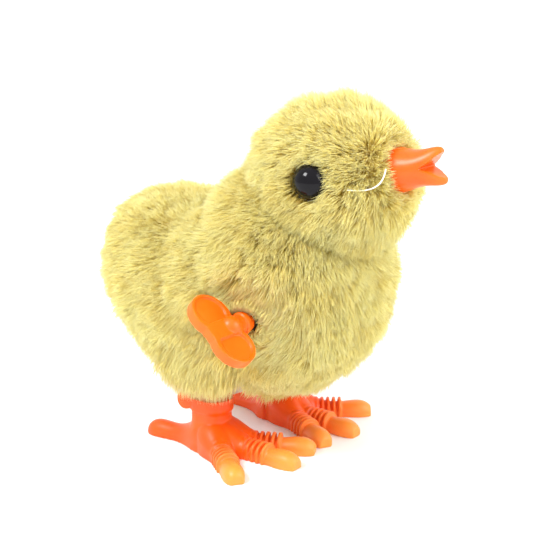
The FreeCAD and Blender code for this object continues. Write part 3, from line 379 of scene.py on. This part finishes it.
# ---------------------------------------------------------------- the plush's shape
def add_ellipsoid(bm, centre, radii, pitch, inset):
    size = Matrix.Diagonal([*(r - inset for r in radii), 1])
    turn = Matrix.Rotation(math.radians(pitch), 4, "Y")
    matrix = Matrix.Translation(centre) @ turn @ size
    bmesh.ops.create_icosphere(bm, subdivisions=5, radius=1.0, matrix=matrix)


def backing_mesh():
    """The plush's backing: the body's and head's forms run together, at the foot of the pile."""
    bm = bmesh.new()
    add_ellipsoid(bm, RUMP, RUMP_RADII, RUMP_PITCH, PILE)
    add_ellipsoid(bm, CHEST, CHEST_RADII, 0, PILE)
    add_ellipsoid(bm, FLANK, FLANK_RADII, FLANK_PITCH, PILE)
    add_ellipsoid(bm, HEAD, HEAD_RADII, 0, PILE)
    for vertex in bm.verts:
        vertex.co = vertex.co * MM + ORIGIN
    mesh = bpy.data.meshes.new("plush_backing")
    bm.to_mesh(mesh)
    bm.free()
    obj = new_object("plush_backing", mesh, BACKING)
    return remeshed(obj, 0.8 * MM, 14)


def off_axis(points, start, line):
    """Each point's distance from the line through start, and how far along the line it is."""
    to_points = points - np.array(start)
    along = to_points @ np.array(line)
    return np.linalg.norm(to_points - along[:, None] * np.array(line), axis=1), along


def in_room(points, room):
    """True inside a room, which stands on both sides of the middle plane."""
    (x_low, x_high), (side_low, side_high), top = room
    x, y, z = points.T
    side = np.abs(y)
    return (x > x_low) & (x < x_high) & (side >= side_low) & (side < side_high) & (z < top)


def in_opening(points, spread=0.0):
    """True where the plush has a hole: at the eyes, the beak, the key and the feet."""
    gone = np.zeros(len(points), dtype=bool)
    for line in EYE_LINES.values():
        off, along = off_axis(points, HEAD, line)
        gone |= (off < EYE_OPENING + spread) & (along > FACE_FROM)
    off, along = off_axis(points, HEAD, BEAK_LINE)
    gone |= (off < BEAK_OPENING + spread) & (along > FACE_FROM)
    off, along = off_axis(points, KEY_AXIS, Vector((0, -1, 0)))
    gone |= (off < KEY_OPENING + spread) & (points[:, 1] < KEY_SIDE)
    return gone | in_room(points, FOOT_OPENING)


def cut_openings(obj):
    bm = bmesh.new()
    bm.from_mesh(obj.data)
    bm.verts.ensure_lookup_table()
    gone = in_opening(chick_points(obj), OPENING_SPREAD)
    bmesh.ops.delete(bm, geom=[bm.verts[i] for i in np.flatnonzero(gone)], context="VERTS")
    bm.to_mesh(obj.data)
    bm.free()
    thicken = obj.modifiers.new("cloth", "SOLIDIFY")
    thicken.thickness = CLOTH_THICK * MM
    thicken.offset = -1
    return applied(obj)


# ---------------------------------------------------------------- the pile
rng = np.random.RandomState(7)


def unit(vectors):
    return vectors / np.maximum(np.linalg.norm(vectors, axis=1, keepdims=True), 1e-9)


def waves(points, size, count=7):
    """Smooth random values from about -1 to 1 that change over distances of about size millimetres."""
    total = np.zeros(len(points))
    for _ in range(count):
        line = unit(rng.normal(size=(1, 3)))[0]
        total += np.sin(points @ line * (2 * math.pi / size) * rng.uniform(0.6, 1.5) + rng.uniform(0, 6.28))
    return total / math.sqrt(count)


def surface_points(obj, count):
    """Random points on the surface, even in area, with the smooth normal at each."""
    mesh = obj.data
    mesh.calc_loop_triangles()
    corners = np.empty(len(mesh.loop_triangles) * 3, dtype=np.int32)
    mesh.loop_triangles.foreach_get("vertices", corners)
    corners = corners.reshape(-1, 3)
    normals = np.empty(len(mesh.vertices) * 3, dtype=np.float32)
    mesh.vertices.foreach_get("normal", normals)
    normals = normals.reshape(-1, 3)
    points = chick_points(obj)
    a, b, c = (points[corners[:, k]] for k in range(3))
    areas = np.linalg.norm(np.cross(b - a, c - a), axis=1) / 2
    chosen = np.searchsorted(np.cumsum(areas) / areas.sum(), rng.uniform(size=count))
    chosen = np.minimum(chosen, len(corners) - 1)
    u = np.sqrt(rng.uniform(size=count))
    v = rng.uniform(size=count)
    weights = np.stack([1 - u, u * (1 - v), u * v], axis=1)[:, :, None]
    triangles = corners[chosen]
    return (points[triangles] * weights).sum(axis=1), unit((normals[triangles] * weights).sum(axis=1))


def smooth_step(values, low, high):
    share = np.clip((values - low) / (high - low), 0, 1)
    return share * share * (3 - 2 * share)


def headness(points):
    """1 on the head, 0 on the body, with a short change at the neck."""
    scaled = (points - np.array(HEAD)) / (np.array(HEAD_RADII) - PILE)
    return 1 - smooth_step(np.linalg.norm(scaled, axis=1), 1.0, 1.06)


def comb(points, normals, head):
    """Which way the pile lies: down and back on the body, back from the beak on the head."""
    body_way = np.array([-0.62, 0, -0.62])
    rump = smooth_step(-points[:, 0], 5, 30)[:, None]
    body = body_way + rump * np.array([-0.25, 0, 0.15])
    from_beak = unit(points - np.array(HEAD + BEAK_LINE * 19))
    down = np.array([-0.35, 0, -0.75])
    below = smooth_step(-(points[:, 2] - HEAD.z), -2, 12)[:, None]
    head_way = from_beak * (1 - 0.6 * below) + down * (0.25 + 0.6 * below)
    way = head_way * head[:, None] + body * (1 - head[:, None])
    for size, strength in ((26, 0.24), (8, 0.26)):
        swirl = np.stack([waves(points, size), waves(points, size), waves(points, size)], axis=1)
        way = unit(way) + strength * swirl
    flat = way - (way * normals).sum(axis=1, keepdims=True) * normals
    return flat


def blend(first, second, share):
    """Directions that turn from first to second as share goes from 0 to 1."""
    return unit(first * (1 - share) + second * share)


def grow(backing, count):
    """Every fibre's root, path and tone, as a dict of arrays in the chick's own frame."""
    fur = first_lay(backing, count)
    shorten_back_and_belly(fur)
    stand_forward_at_beak(fur)
    press_behind_key(fur)
    hang_over_legs(fur)
    shorten_round_eyes(fur)
    fur["shift"] = clump_shift(fur)
    roots = fur["root"]
    n = len(roots)
    patches = 0.16 * waves(roots, 14) + 0.12 * waves(roots, 4)
    fur["tone"] = np.clip(0.52 + patches + rng.normal(size=n) * 0.14, 0.02, 0.98)
    fur["radius"] = rng.uniform(0.05, 0.085, n)
    end_above_toes(fur)
    del fur["normal"], fur["flat"], fur["jitter"]
    return trimmed(fur)


def first_lay(backing, count):
    """Fibres that start nearly upright and bend over the way the pile is combed."""
    roots, normals = surface_points(backing, count)
    keep = ~in_opening(roots)
    roots, normals = roots[keep], normals[keep]
    head = headness(roots)
    n = len(roots)
    flat = comb(roots, normals, head)
    jitter = rng.normal(size=(n, 3)) * 0.2
    lift = (1.0 + 0.12 * waves(roots, 7))[:, None]
    start = unit(normals * lift + flat * 0.3 + jitter)
    lay = (0.42 + 0.14 * waves(roots, 6))[:, None]
    finish = unit(normals * lay + flat * 0.85 + jitter * 1.5 + np.array([0, 0, -0.12]))
    length = PILE_LENGTH - HEAD_PILE_SHORTER * head
    length = length * (1 + 0.10 * waves(roots, 5)) * rng.uniform(0.66, 1.1, n)
    return {
        "root": roots,
        "normal": normals,
        "head": head,
        "flat": flat,
        "jitter": jitter,
        "start": start,
        "finish": finish,
        "length": length,
    }


def shorten_back_and_belly(fur):
    x, _, z = fur["root"].T
    back = smooth_step(-x, -4, 10) * smooth_step(z, 40, 52) * (1 - fur["head"])
    belly = smooth_step(x, 8, 18) * (1 - smooth_step(z, 22, 34))
    fur["length"] *= 1 - 0.25 * back
    fur["length"] *= 1 - 0.3 * belly


def stand_forward_at_beak(fur):
    """The pile round the beak points along it and covers its root."""
    off, along = off_axis(fur["root"], HEAD, BEAK_LINE)
    near = ((1 - smooth_step(off, *BEAK_PRESS)) * (along > 0))[:, None]
    forward = np.array(BEAK_LINE)
    jitter = fur["jitter"]
    fur["start"] = blend(fur["start"], fur["normal"] + 0.7 * forward + jitter, near)
    fur["finish"] = blend(fur["finish"], 0.3 * fur["normal"] + forward + 2 * jitter, near)
    fur["length"] *= 1 - 0.28 * near[:, 0]


def press_behind_key(fur):
    """The pile lies flat behind the turning key and turns in to its boss."""
    roots = fur["root"]
    normals = fur["normal"]
    jitter = 0.5 * fur["jitter"]
    flat = fur["flat"]
    key_side = roots[:, 1] < KEY_SIDE
    off, _ = off_axis(roots, KEY_AXIS, Vector((0, -1, 0)))
    near = ((1 - smooth_step(off, *KEY_PRESS)) * key_side)[:, None]
    start = blend(fur["start"], 0.42 * normals + flat, near)
    finish = blend(fur["finish"], 0.05 * normals + flat, near)
    length = fur["length"] * (1 - 0.30 * near[:, 0])
    inward = np.array(KEY_AXIS) - roots
    inward[:, 1] = 0
    inward = unit(inward) * smooth_step(off, 3.2, 5.5)[:, None]
    at_boss = ((off < KEY_BOSS_FUR) & key_side)[:, None]
    fur["start"] = np.where(at_boss, unit(0.7 * normals + 0.5 * inward + jitter), start)
    fur["finish"] = np.where(at_boss, unit(0.35 * normals + inward + jitter), finish)
    fur["length"] = np.where(at_boss[:, 0], np.clip((off - 2.8) * 1.2, 2.1, 4.2), length)


def hang_over_legs(fur):
    """The pile above each leg hangs straight down to the collar."""
    x, y, z = fur["root"].T
    jitter = fur["jitter"]
    over_legs = smooth_step(x, -12, -6) * (1 - smooth_step(x, 8, 14))
    over_legs *= smooth_step(np.abs(y), 14, 18)
    share = ((1 - smooth_step(z, 24, 31)) * over_legs)[:, None]
    outward = np.sign(y)[:, None] * np.array([0, 1.0, 0])
    down = np.array([0, 0, -1.0])
    fur["start"] = blend(fur["start"], outward * 0.5 + 0.7 * down + jitter, share)
    fur["finish"] = blend(fur["finish"], down + 0.7 * jitter, share)
    hang = np.clip(z - COLLAR_HEIGHT, 3, 12) * rng.uniform(0.75, 1.05, len(z))
    fur["length"] = fur["length"] * (1 - share[:, 0]) + hang * share[:, 0]


def shorten_round_eyes(fur):
    for line in EYE_LINES.values():
        off, along = off_axis(fur["root"], HEAD, line)
        fur["length"] *= 1 - 0.25 * (1 - smooth_step(off, 4, 7.5)) * (along > 0)


def end_above_toes(fur):
    """Shortens what would hang lower than the toes reach as they rock."""
    height = fur["root"][:, 2]
    tips = path_point(fur, 1.0)[:, 2]
    fall = np.maximum(height - tips, 1e-6)
    spare = np.where(tips < HEM_HEIGHT, np.clip((height - HEM_HEIGHT) / fall, 0.2, 1), 1.0)
    fur["length"] = fur["length"] * spare


def path_point(fur, share):
    bend = fur["start"] * share + (fur["finish"] - fur["start"]) * (share * share / 2)
    return fur["root"] + fur["length"][:, None] * bend + fur["shift"] * share**1.6


def clump_shift(fur):
    """How far each fibre's tip is drawn to the tip of the tuft that it belongs to."""
    n = len(fur["root"])
    fur["shift"] = np.zeros((n, 3))
    tips = path_point(fur, 1.0)
    total = np.zeros((n, 3))
    for per_tuft, pull in TUFTS:
        seeds = rng.choice(n, n // per_tuft, replace=False)
        tree = kdtree.KDTree(len(seeds))
        for index, seed in enumerate(seeds):
            tree.insert(fur["root"][seed], index)
        tree.balance()
        nearest = np.array([tree.find(root)[1] for root in fur["root"]])
        drawn = tips[seeds[nearest]] - tips
        total += drawn * pull * rng.uniform(0.6, 1.2, n)[:, None]
    return total


def trimmed(fur):
    """Without the fibres that would cross the feet, the beak, the eyes or the key as they move."""
    keep = np.ones(len(fur["root"]), dtype=bool)
    for share in (0.4, 0.72, 1.0):
        points = path_point(fur, share)
        keep &= ~(in_leg_room(points) | in_key_room(points) | in_face_room(points))
    return {name: values[keep] for name, values in fur.items()}


def in_leg_room(points):
    """True where the legs and their levers rock, and under the belly."""
    below = points[:, 2] < LOWEST_PILE
    return in_room(points, LEG_ROOM) | in_room(points, LEVER_ROOM) | below


def in_key_room(points):
    """True where the key's bow turns and where its boss runs in."""
    x, y, z = points.T
    off = np.hypot(x - KEY_AXIS.x, z - KEY_AXIS.z)
    bow = (y < KEY_PRESSED_TO) & (off < BOW_ROOM)
    boss = (y < KEY_SIDE) & (off < BOSS_ROOM)
    return bow | boss


def in_face_room(points):
    """True inside the beak and over the middle of each eye."""
    off, along = off_axis(points, HEAD, BEAK_LINE)
    inside = (off < BEAK_ROOM) & (along > FACE_FROM)
    for line in EYE_LINES.values():
        off, along = off_axis(points, HEAD, line)
        inside |= (off < EYE_ROOM) & (along > FACE_FROM)
    return inside


def pile_mesh(name, fur):
    """One mesh of closed three-sided fibres that taper to a point."""
    n = len(fur["root"])
    side = unit(np.cross(fur["start"], unit(rng.normal(size=(n, 3)))))
    other = np.cross(fur["start"], side)
    rings = []
    for share, width in STATIONS:
        centre = path_point(fur, share)
        reach = (fur["radius"] * width)[:, None]
        for corner in range(CORNERS):
            angle = 2 * math.pi * corner / CORNERS
            rings.append(centre + reach * (math.cos(angle) * side + math.sin(angle) * other))
    rings.append(path_point(fur, 1.0))
    points = np.stack(rings, axis=1)
    per_fibre = points.shape[1]
    faces = [(2, 1, 0)]
    for ring in range(len(STATIONS) - 1):
        low = CORNERS * ring
        high = low + CORNERS
        for corner in range(CORNERS):
            after = (corner + 1) % CORNERS
            faces.append((low + corner, low + after, high + after, high + corner))
    last = CORNERS * (len(STATIONS) - 1)
    for corner in range(CORNERS):
        faces.append((last + corner, last + (corner + 1) % CORNERS, per_fibre - 1))
    sizes = np.array([len(face) for face in faces])
    pattern = np.array([corner for face in faces for corner in face])
    loops = (pattern[None, :] + per_fibre * np.arange(n)[:, None]).ravel()
    starts = np.concatenate([[0], np.cumsum(np.tile(sizes, n))[:-1]])
    mesh = bpy.data.meshes.new(name)
    mesh.vertices.add(n * per_fibre)
    scene_points = points.reshape(-1, 3) * MM + np.array(ORIGIN)
    mesh.vertices.foreach_set("co", scene_points.astype(np.float32).ravel())
    mesh.loops.add(len(loops))
    mesh.loops.foreach_set("vertex_index", loops.astype(np.int32))
    mesh.polygons.add(n * len(faces))
    mesh.polygons.foreach_set("loop_start", starts.astype(np.int32))
    mesh.update(calc_edges=True)
    up = np.array([share for share, _ in STATIONS for _ in range(CORNERS)] + [1.0])
    layer = mesh.uv_layers.new(name="OFBake")
    across = np.repeat(fur["tone"], len(pattern))
    height = np.tile(0.02 + 0.96 * up[pattern], n)
    layer.data.foreach_set("uv", np.stack([across, height], axis=1).astype(np.float32).ravel())
    mesh.polygons.foreach_set("use_smooth", np.ones(n * len(faces), dtype=bool))
    return mesh


def make_plush():
    backing = backing_mesh()
    fur = grow(backing, FIBRES)
    cut_openings(backing)
    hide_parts("body_cover_left", "body_cover_right", "head_cover")
    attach(backing, "body")
    head = fur["head"] > 0.5
    for region, chosen in (("head", head), ("body", ~head)):
        order = np.flatnonzero(chosen)
        pieces = math.ceil(len(order) / FIBRES_PER_PIECE)
        for index, members in enumerate(np.array_split(order, pieces)):
            part = {name: values[members] for name, values in fur.items()}
            mesh = pile_mesh(f"pile_{region}_{index + 1}", part)
            obj = new_object(mesh.name, mesh, FUR)
            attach(obj, "body")


# ---------------------------------------------------------------- moulded pieces
def make_feet():
    for side, name in ((1, "left"), (-1, "right")):
        foot = moulded_copy(f"leg_{name}", f"foot_{name}", ORANGE, 0.22, 11)
        points = chick_points(foot)
        reach = np.hypot(points[:, 0], points[:, 1] - side * LEG_CENTRE)
        set_paleness(foot, 0.9 * smooth_step(reach, *PALE_TOES) * (points[:, 0] > 0))
        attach(foot, "legs")


def make_key():
    key = moulded_copy("winding_key", "butterfly_key", ORANGE_KEY, 0.16, 7)
    set_paleness(key, np.zeros(len(key.data.vertices)))
    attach(key, "winding")


def make_beak():
    """The CAD beak with its tips a little further open and a little shorter."""
    beak = moulded_copy("beak", "open_beak", ORANGE_BEAK, 0.16, 9)
    points = chick_points(beak)
    _, along = off_axis(points, HEAD, BEAK_LINE)
    up = np.array([-BEAK_LINE.z, 0, BEAK_LINE.x])
    height = (points - np.array(HEAD)) @ up
    begin, amount, steepness = BEAK_OPENED
    open_by = amount * np.maximum(along - begin, 0) ** steepness * np.clip(height / BEAK_LIPS, -1, 1)
    begin, amount = BEAK_SHORTENED
    shorter = -amount * np.maximum(along - begin, 0)
    moved = points + open_by[:, None] * up + shorter[:, None] * np.array(BEAK_LINE)
    set_vertices(beak, moved)
    set_paleness(beak, 0.5 * smooth_step(along, *PALE_BEAK))
    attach(beak, "body")


def make_eyes():
    """Polished domes with shallow backs, seated in the pile."""
    for side, name in ((1, "left"), (-1, "right")):
        bm = bmesh.new()
        bmesh.ops.create_uvsphere(bm, u_segments=64, v_segments=40, radius=EYE_RADIUS * MM)
        for vertex in bm.verts:
            if vertex.co.z < 0:
                vertex.co.z *= EYE_BACK
        line = EYE_LINES[side]
        turn = line.to_track_quat("Z", "Y").to_matrix().to_4x4()
        seat = HEAD + line * EYE_SEAT
        bmesh.ops.transform(bm, matrix=Matrix.Translation(place(*seat)) @ turn, verts=bm.verts)
        mesh = bpy.data.meshes.new(f"eye_dome_{name}")
        bm.to_mesh(mesh)
        bm.free()
        for polygon in mesh.polygons:
            polygon.use_smooth = True
        eye = new_object(mesh.name, mesh, EYE)
        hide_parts(f"eye_{name}")
        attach(eye, "body")


# ---------------------------------------------------------------- pieces kept from the CAD model
def repaint(material, *nodes):
    for node in nodes:
        slots = NODES[node].data.materials
        slots.clear()
        slots.append(material)


def paint_hard_pieces():
    shell = hard_material("shell_plastic", (0.80, 0.78, 0.68), (0.90, 0.88, 0.80), 0.45)
    case = hard_material("case_plastic", (0.72, 0.72, 0.70), (0.84, 0.84, 0.82), 0.5)
    gear = hard_material("gear_plastic", (0.80, 0.80, 0.76), (0.92, 0.92, 0.90), 0.4)
    steel = hard_material("drawn_steel", (0.42, 0.42, 0.44), (0.58, 0.58, 0.60), 0.3, 1.0, 1500.0)
    repaint(shell, "body_shell_left", "body_shell_right", "head_shell", "eye_washers", "beak_washer")
    repaint(case, "motor_case_left", "motor_case_right", "crank_disc_left", "crank_disc_right")
    repaint(gear, "drive_gear", "intermediate_gear", "crank_gear", "escape_gear", "pallet", "ratchet_wheel")
    repaint(gear, "click")
    repaint(steel, "body_shell_screws", "motor_case_screws", "winding_shaft", "mainspring", "crank_shaft")
    repaint(steel, "intermediate_pin", "escape_pin", "pallet_pin", "leg_axle")


# ---------------------------------------------------------------- stage, light and camera
def floor_material():
    m = Nodes("pale_floor")
    cloud = m.noise(6.0)
    colour = m.ramp(cloud.outputs["Fac"], (0.3, (0.93, 0.93, 0.93)), (0.7, (0.96, 0.96, 0.96)))
    m.set(Base_Color=colour, Roughness=0.8)
    return m.material


def make_stage():
    """A wide pale floor under an even white sky."""
    mesh = bpy.data.meshes.new("floor")
    far = FLOOR_HALF
    corners = [(-far, -far, 0), (far, -far, 0), (far, far, 0), (-far, far, 0)]
    mesh.from_pydata(corners, [], [(0, 1, 2, 3)])
    floor = new_object("floor", mesh, floor_material())
    world = bpy.data.worlds.new("studio")
    world.use_nodes = True
    background = world.node_tree.nodes["Background"]
    background.inputs["Color"].default_value = (1.0, 1.0, 1.0, 1)
    background.inputs["Strength"].default_value = 1.2
    bpy.context.scene.world = world
    bpy.context.scene.view_settings.view_transform = "Standard"


def camera_axes():
    azimuth = math.radians(CAMERA_AZIMUTH)
    elevation = math.radians(CAMERA_ELEVATION)
    right = Vector((math.cos(azimuth), math.sin(azimuth), 0))
    back = Vector(
        (
            math.sin(azimuth) * math.cos(elevation),
            -math.cos(azimuth) * math.cos(elevation),
            math.sin(elevation),
        )
    )
    return right, back, back.cross(right)


def make_camera():
    right, back, up = camera_axes()
    aim = right * CAMERA_ASIDE + up * CAMERA_UP + Vector((0, 0, CAMERA_AIM_HEIGHT))
    spot = aim + back * CAMERA_DISTANCE
    data = bpy.data.cameras.new("camera")
    data.sensor_width = SENSOR_WIDTH
    data.lens = FOCAL_PIXELS * SENSOR_WIDTH / PICTURE_WIDTH
    camera = bpy.data.objects.new("camera", data)
    turn = Matrix((right, up, back)).transposed().to_4x4()
    camera.matrix_world = Matrix.Translation(place(*spot)) @ turn
    bpy.context.scene.collection.objects.link(camera)
    bpy.context.scene.camera = camera


def area_light(name, offset, size, power):
    right, back, up = camera_axes()
    target = place(*LIGHT_TARGET)
    data = bpy.data.lights.new(name, "AREA")
    data.shape = "SQUARE"
    data.size = size
    data.energy = power
    light = bpy.data.objects.new(name, data)
    light.location = target + (back * offset[1] + right * offset[0] + up * offset[2])
    light.rotation_euler = (target - light.location).to_track_quat("-Z", "Y").to_euler()
    bpy.context.scene.collection.objects.link(light)


def make_lights():
    area_light("key_light", *KEY_LIGHT)
    area_light("side_light", *SIDE_LIGHT)


def stray_thread():
    """A short end of white sewing thread that shows beside the beak."""
    base = HEAD + BEAK_LINE * 19.5 + Vector((-1.4, -2.9, -0.6))
    route = [
        base + Vector((0.6, -5.0, 1.6)),
        base + Vector((0.9, -6.2, -0.6)),
        base + Vector((-0.2, -7.6, -2.4)),
        base + Vector((-2.6, -9.4, -2.9)),
        base + Vector((-5.2, -11.2, -2.6)),
    ]
    curve = bpy.data.curves.new("stray_thread", "CURVE")
    curve.dimensions = "3D"
    curve.bevel_depth = 0.16 * MM
    curve.bevel_resolution = 3
    spline = curve.splines.new("NURBS")
    spline.points.add(len(route) - 1)
    for point, spot in zip(spline.points, route, strict=True):
        point.co = (*place(*spot), 1)
    spline.order_u = 4
    spline.use_endpoint_u = True
    obj = bpy.data.objects.new("stray_thread", curve)
    bpy.context.scene.collection.objects.link(obj)
    curve.materials.append(thread_material())
    applied_mesh = bpy.data.meshes.new_from_object(obj.evaluated_get(bpy.context.evaluated_depsgraph_get()))
    bpy.data.objects.remove(obj)
    thread = bpy.data.objects.new("stray_thread", applied_mesh)
    bpy.context.scene.collection.objects.link(thread)
    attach(thread, "body")


make_camera()
make_stage()
make_lights()
paint_hard_pieces()
make_plush()
make_feet()
make_key()
make_beak()
make_eyes()
stray_thread()
